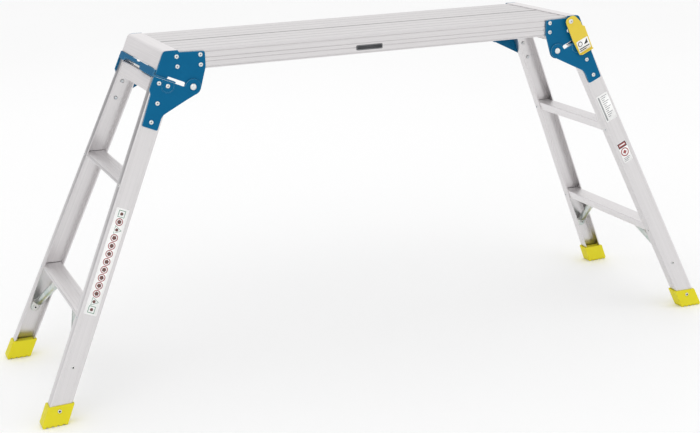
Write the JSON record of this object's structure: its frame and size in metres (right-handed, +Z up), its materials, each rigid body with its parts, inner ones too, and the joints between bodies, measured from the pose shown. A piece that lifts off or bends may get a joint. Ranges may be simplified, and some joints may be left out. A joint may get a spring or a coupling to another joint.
{
  "type": "folding work platform",
  "caption": "Low folding aluminium work platform: a long ribbed deck on two hinged leg frames with treads, sliding lock bars, a safety lever and moulded feet.",
  "frame": {"origin": "on the floor, midway between the four feet", "axes": "+X along the deck to the end with the safety lever, -Y to the front, +Z up"},
  "size_m": [1.7328, 0.4732, 0.7796],
  "materials": {
    "aluminium": "satin mill-finish extrusion with fine lengthwise lines",
    "blue_steel": "satin blue powder coat on pressed sheet steel",
    "yellow_plastic": "moulded yellow plastic, slightly textured",
    "lever_yellow": "glossy yellow powder coat",
    "zinc_steel": "bright zinc plate",
    "label_white": "printed vinyl sticker"
  },
  "bodies": {
    "deck": {"deck_bracket_left_front": "blue_steel", "deck_bracket_left_rear": "blue_steel", "deck_bracket_right_front": "blue_steel", "deck_bracket_right_rear": "blue_steel", "deck_plank_front": "aluminium", "deck_plank_rear": "aluminium", "end_cap_left": "aluminium", "end_cap_right": "aluminium", "hinge_pin_left_front": "zinc_steel", "hinge_pin_left_rear": "zinc_steel", "hinge_pin_right_front": "zinc_steel", "hinge_pin_right_rear": "zinc_steel", "lever_screw": "zinc_steel", "lever_spacer": "zinc_steel"},
    "leg_left": {"brace_left_front": "zinc_steel", "brace_left_rear": "zinc_steel", "brace_rivet_left_front": "zinc_steel", "brace_rivet_left_rear": "zinc_steel", "foot_left_front": "yellow_plastic", "foot_left_rear": "yellow_plastic", "foot_rivet_left_front": "zinc_steel", "foot_rivet_left_rear": "zinc_steel", "leg_bracket_left_front": "blue_steel", "leg_bracket_left_rear": "blue_steel", "leg_rail_left_front": "aluminium", "leg_rail_left_rear": "aluminium", "lower_rung_left": "aluminium", "top_rung_left": "aluminium", "upper_rung_left": "aluminium"},
    "leg_right": {"brace_right_front": "zinc_steel", "brace_right_rear": "zinc_steel", "brace_rivet_right_front": "zinc_steel", "brace_rivet_right_rear": "zinc_steel", "foot_right_front": "yellow_plastic", "foot_right_rear": "yellow_plastic", "foot_rivet_right_front": "zinc_steel", "foot_rivet_right_rear": "zinc_steel", "leg_bracket_right_front": "blue_steel", "leg_bracket_right_rear": "blue_steel", "leg_rail_right_front": "aluminium", "leg_rail_right_rear": "aluminium", "lower_rung_right": "aluminium", "top_rung_right": "aluminium", "upper_rung_right": "aluminium"},
    "lock_bar_left": {"lock_bar_left": "blue_steel", "lock_spring_left": "zinc_steel"},
    "lock_bar_right": {"lock_bar_right": "blue_steel", "lock_spring_right": "zinc_steel"},
    "safety_lever": {"safety_lever": "lever_yellow"}
  },
  "joints": [
    {"name": "fold_left", "type": "hinge", "parent": "deck", "child": "leg_left", "pos_m": [-0.4624, 0, 0.6963], "axis": [0, -1, 0], "range_deg": [0, 121.5]},
    {"name": "fold_right", "type": "hinge", "parent": "deck", "child": "leg_right", "pos_m": [0.4624, 0, 0.6963], "axis": [0, 1, 0], "range_deg": [0, 113.5]},
    {"name": "lock_slide_left", "type": "slide", "parent": "leg_left", "child": "lock_bar_left", "axis": [-0.9153, 0, 0.4027], "range_m": [0, 0.015], "stiffness_N_per_m": 400, "springref_m": -0.01},
    {"name": "lock_slide_right", "type": "slide", "parent": "leg_right", "child": "lock_bar_right", "axis": [0.9153, 0, 0.4027], "range_m": [0, 0.015], "stiffness_N_per_m": 400, "springref_m": -0.01},
    {"name": "lever_swing", "type": "hinge", "parent": "deck", "child": "safety_lever", "pos_m": [0.49483, -0.1585, 0.76662], "axis": [0, -1, 0], "range_deg": [0, 95]}
  ]
}
